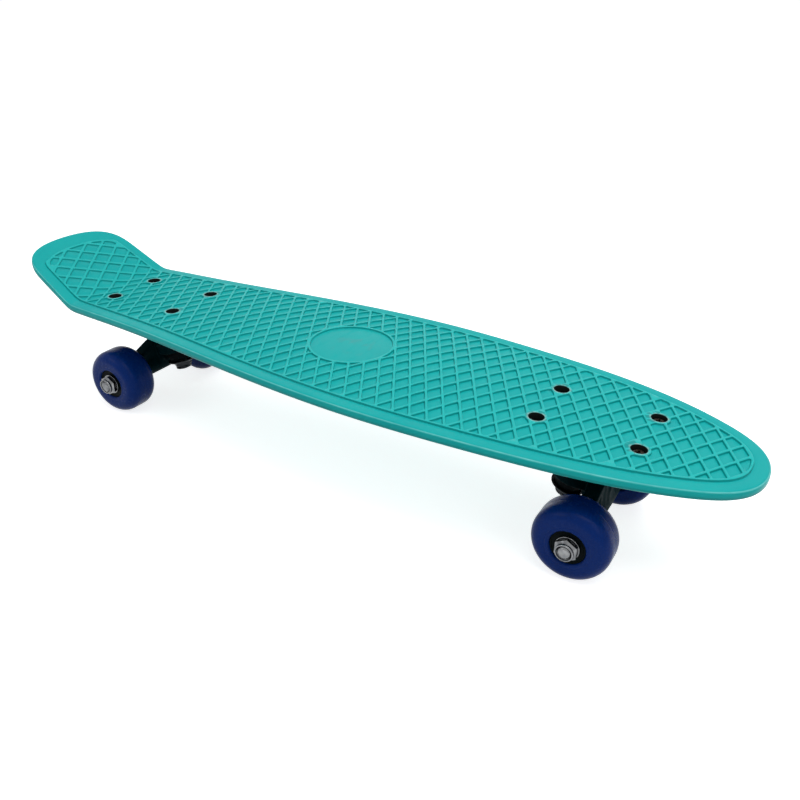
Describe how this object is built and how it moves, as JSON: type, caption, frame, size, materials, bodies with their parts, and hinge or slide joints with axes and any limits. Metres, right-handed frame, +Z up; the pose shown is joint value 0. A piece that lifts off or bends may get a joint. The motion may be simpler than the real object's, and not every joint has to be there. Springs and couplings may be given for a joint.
{
  "type": "cruiser skateboard",
  "caption": "Short cruiser skateboard: moulded, lightly crowned deck with an upturned tail, steering trucks on soft bushings, and freely rolling wheels.",
  "frame": {"origin": "on the ground under the middle of the deck's length and width, at the wheels' lowest faces", "axes": "+X towards the nose, along the deck; +Y to the left side; +Z up"},
  "size_m": [0.56, 0.1468, 0.1096],
  "materials": {
    "deck_plastic": "moulded, glossy",
    "wheel_urethane": "cast, glossy",
    "truck_plastic": "moulded, satin",
    "bushing_urethane": "cast, satin",
    "liner_plastic": "moulded",
    "bright_zinc": "zinc plated, bright",
    "dark_steel": "blackened",
    "bearing_black": "black shields"
  },
  "bodies": {
    "board": {"deck": "deck_plastic", "front_baseplate": "truck_plastic", "front_kingpin": "bright_zinc", "front_kingpin_nut": "dark_steel", "front_upper_bushing": "bushing_urethane", "front_lower_bushing": "bushing_urethane", "front_upper_cup_washer": "dark_steel", "front_lower_cup_washer": "dark_steel", "front_pivot_cup": "liner_plastic", "front_outer_left_bolt": "bright_zinc", "front_outer_left_nut": "bright_zinc", "front_inner_left_bolt": "bright_zinc", "front_inner_left_nut": "bright_zinc", "front_outer_right_bolt": "bright_zinc", "front_outer_right_nut": "bright_zinc", "front_inner_right_bolt": "bright_zinc", "front_inner_right_nut": "bright_zinc", "rear_baseplate": "truck_plastic", "rear_kingpin": "bright_zinc", "rear_kingpin_nut": "dark_steel", "rear_upper_bushing": "bushing_urethane", "rear_lower_bushing": "bushing_urethane", "rear_upper_cup_washer": "dark_steel", "rear_lower_cup_washer": "dark_steel", "rear_pivot_cup": "liner_plastic", "rear_outer_left_bolt": "bright_zinc", "rear_outer_left_nut": "bright_zinc", "rear_inner_left_bolt": "bright_zinc", "rear_inner_left_nut": "bright_zinc", "rear_outer_right_bolt": "bright_zinc", "rear_outer_right_nut": "bright_zinc", "rear_inner_right_bolt": "bright_zinc", "rear_inner_right_nut": "bright_zinc"},
    "front_left_wheel_set": {"front_left_wheel": "wheel_urethane", "front_left_inner_bearing": "bearing_black", "front_left_outer_bearing": "bearing_black"},
    "front_right_wheel_set": {"front_right_wheel": "wheel_urethane", "front_right_inner_bearing": "bearing_black", "front_right_outer_bearing": "bearing_black"},
    "front_hanger_set": {"front_hanger": "truck_plastic", "front_axle": "bright_zinc", "front_left_axle_washer": "bright_zinc", "front_left_axle_nut": "bright_zinc", "front_right_axle_washer": "bright_zinc", "front_right_axle_nut": "bright_zinc"},
    "rear_left_wheel_set": {"rear_left_wheel": "wheel_urethane", "rear_left_inner_bearing": "bearing_black", "rear_left_outer_bearing": "bearing_black"},
    "rear_right_wheel_set": {"rear_right_wheel": "wheel_urethane", "rear_right_inner_bearing": "bearing_black", "rear_right_outer_bearing": "bearing_black"},
    "rear_hanger_set": {"rear_hanger": "truck_plastic", "rear_axle": "bright_zinc", "rear_left_axle_washer": "bright_zinc", "rear_left_axle_nut": "bright_zinc", "rear_right_axle_washer": "bright_zinc", "rear_right_axle_nut": "bright_zinc"}
  },
  "joints": [
    {"name": "front_steer", "type": "hinge", "parent": "board", "child": "front_hanger_set", "pos_m": [0.1732, 0, 0.0419], "axis": [0.8959, 0, 0.4443], "range_deg": [-10, 10], "stiffness_Nm_per_rad": 30, "deforming": ["front_upper_bushing", "front_lower_bushing"]},
    {"name": "front_left_spin", "type": "hinge", "parent": "front_hanger_set", "child": "front_left_wheel_set", "pos_m": [0.1907, 0.0433, 0.0245], "axis": [0, 1, 0], "continuous": true},
    {"name": "front_right_spin", "type": "hinge", "parent": "front_hanger_set", "child": "front_right_wheel_set", "pos_m": [0.1907, -0.0433, 0.0245], "axis": [0, 1, 0], "continuous": true},
    {"name": "rear_steer", "type": "hinge", "parent": "board", "child": "rear_hanger_set", "pos_m": [-0.1628, 0, 0.0419], "axis": [-0.8959, 0, 0.4443], "range_deg": [-10, 10], "stiffness_Nm_per_rad": 30, "deforming": ["rear_upper_bushing", "rear_lower_bushing"]},
    {"name": "rear_left_spin", "type": "hinge", "parent": "rear_hanger_set", "child": "rear_left_wheel_set", "pos_m": [-0.1803, 0.0433, 0.0245], "axis": [0, 1, 0], "continuous": true},
    {"name": "rear_right_spin", "type": "hinge", "parent": "rear_hanger_set", "child": "rear_right_wheel_set", "pos_m": [-0.1803, -0.0433, 0.0245], "axis": [0, 1, 0], "continuous": true}
  ]
}
